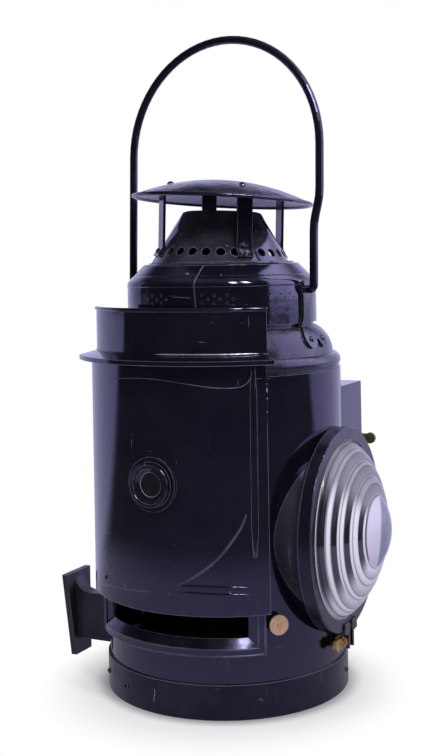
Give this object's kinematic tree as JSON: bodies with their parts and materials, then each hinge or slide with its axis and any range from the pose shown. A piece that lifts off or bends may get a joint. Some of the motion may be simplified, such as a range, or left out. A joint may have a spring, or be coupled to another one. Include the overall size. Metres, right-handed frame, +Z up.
{
  "type": "locomotive classification lamp",
  "caption": "Oil classification lamp in black sheet metal with one stepped lens, a sliding door, a smoke cap on legs, a wire bail and a bracket lug.",
  "frame": {"origin": "on the drum's axis, in the plane the base ring stands on", "axes": "+Z up along the drum's axis, +X along the lens axis out of the lens, the bracket lug points along -X, the sliding door is on the -Y side and the bracket socket on the +Y side"},
  "size_m": [0.2823, 0.2205, 0.5126],
  "materials": {
    "enamel": "glossy black enamel over sheet steel, worn and scratched",
    "bail_steel": "black painted steel wire",
    "lug_casting": "black painted casting",
    "brass": "aged brass",
    "lens_glass": "clear pressed glass",
    "dark_glass": "dark glass pane",
    "packing": "woven packing",
    "tinned_steel": "dull tinned steel",
    "wick_cotton": "woven cotton"
  },
  "bodies": {
    "lamp": {"base_ring": "enamel", "base_floor": "enamel", "body_shell": "enamel", "base_rivets": "enamel", "shoulder": "enamel", "draft_ring": "enamel", "vent_dome": "enamel", "chimney_cone": "enamel", "cap_leg_1": "enamel", "cap_leg_2": "enamel", "cap_leg_3": "enamel", "cap_leg_4": "enamel", "smoke_cap": "enamel", "cap_rivets": "enamel", "leg_rivets": "enamel", "bail_ear_lens_side": "enamel", "bail_ear_lug_side": "enamel", "ear_rivets": "enamel", "door_frame": "enamel", "lens_collar": "enamel", "lens_gasket": "packing", "lens": "lens_glass", "lens_bezel": "enamel", "clasp_ear_near": "enamel", "clasp_ear_far": "enamel", "clasp_nut": "enamel", "bracket_lug": "lug_casting", "lug_rivets": "enamel", "rear_socket": "enamel", "socket_nut": "brass", "oil_fount": "tinned_steel", "fount_collar": "brass", "burner_body": "brass", "burner_cone": "brass", "wick_tube": "brass", "winder_bush": "enamel"},
    "bail": {"bail": "bail_steel"},
    "door": {"door_panel": "enamel", "door_hood": "enamel", "door_rivets": "enamel", "peephole_ferrule": "enamel", "peephole_glass": "dark_glass"},
    "clasp_screw": {"clasp_screw": "brass"},
    "socket_screw": {"socket_screw": "brass"},
    "filler_cap": {"filler_cap": "brass"},
    "winder": {"winder_shaft": "brass", "winder_wheel": "brass", "winder_knob": "brass"},
    "wick": {"wick": "wick_cotton"}
  },
  "joints": [
    {"name": "bail_swing", "type": "hinge", "parent": "lamp", "child": "bail", "pos_m": [0, 0, 0.30905], "axis": [0.9925, -0.1219, 0], "range_deg": [-108, 22]},
    {"name": "door_lift", "type": "slide", "parent": "lamp", "child": "door", "axis": [0, 0, 1], "range_m": [-0.022, 0.12]},
    {"name": "clasp_screw_turn", "type": "hinge", "parent": "lamp", "child": "clasp_screw", "pos_m": [0.099, 0, 0.0412], "axis": [0, 1, 0], "range_deg": [-180, 180]},
    {"name": "socket_screw_turn", "type": "hinge", "parent": "lamp", "child": "socket_screw", "pos_m": [0.078, 0.096, 0.181], "axis": [1, 0, 0], "range_deg": [-180, 180]},
    {"name": "filler_cap_turn", "type": "hinge", "parent": "lamp", "child": "filler_cap", "pos_m": [-0.02431, 0.02518, 0.0513], "axis": [0, 0, 1], "range_deg": [-180, 180]},
    {"name": "winder_turn", "type": "hinge", "parent": "lamp", "child": "winder", "pos_m": [0.00518, 0.005, 0.06765], "axis": [0.6947, -0.7193, 0], "range_deg": [-55, 55]},
    {"name": "wick_lift", "type": "slide", "parent": "lamp", "child": "wick", "axis": [0, 0, 1], "range_m": [-0.006, 0.006]}
  ],
  "couplings": [
    {"joint": "wick_lift", "follows": "winder_turn", "m_per_rad": -0.0059}
  ]
}
